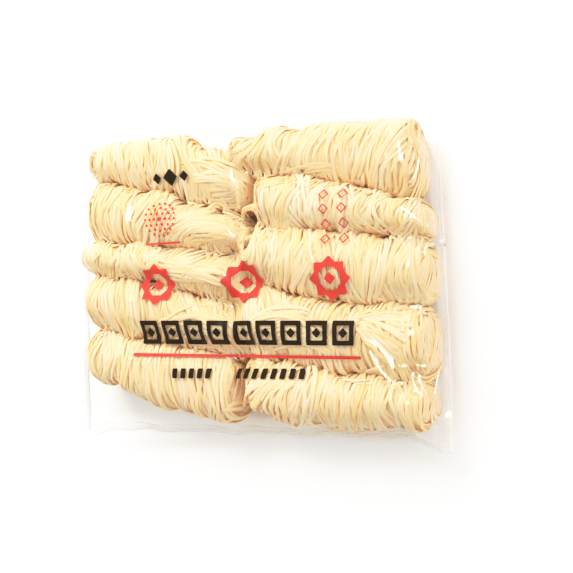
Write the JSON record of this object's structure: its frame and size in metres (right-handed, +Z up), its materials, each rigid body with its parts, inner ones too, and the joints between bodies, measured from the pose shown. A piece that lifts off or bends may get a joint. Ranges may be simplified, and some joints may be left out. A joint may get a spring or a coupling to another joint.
{
  "type": "bag of dried noodle skeins",
  "caption": "Clear pillow bag packed with rows of wound dried noodle skeins, lying flat, with flat end seals and folded long sides.",
  "frame": {"origin": "on the table under the middle of the bag's bounding box", "axes": "+X runs along the skeins, towards the right of the printed side; +Y points towards the top edge of the printed side; +Z is up, out of the printed side"},
  "size_m": [0.27, 0.211, 0.0445],
  "materials": {
    "dried_noodles": "matte",
    "clear_film": "gloss",
    "red_print": "satin",
    "black_print": "satin"
  },
  "bodies": {
    "root": {"noodle_bag": "dried_noodles"}
  },
  "joints": []
}
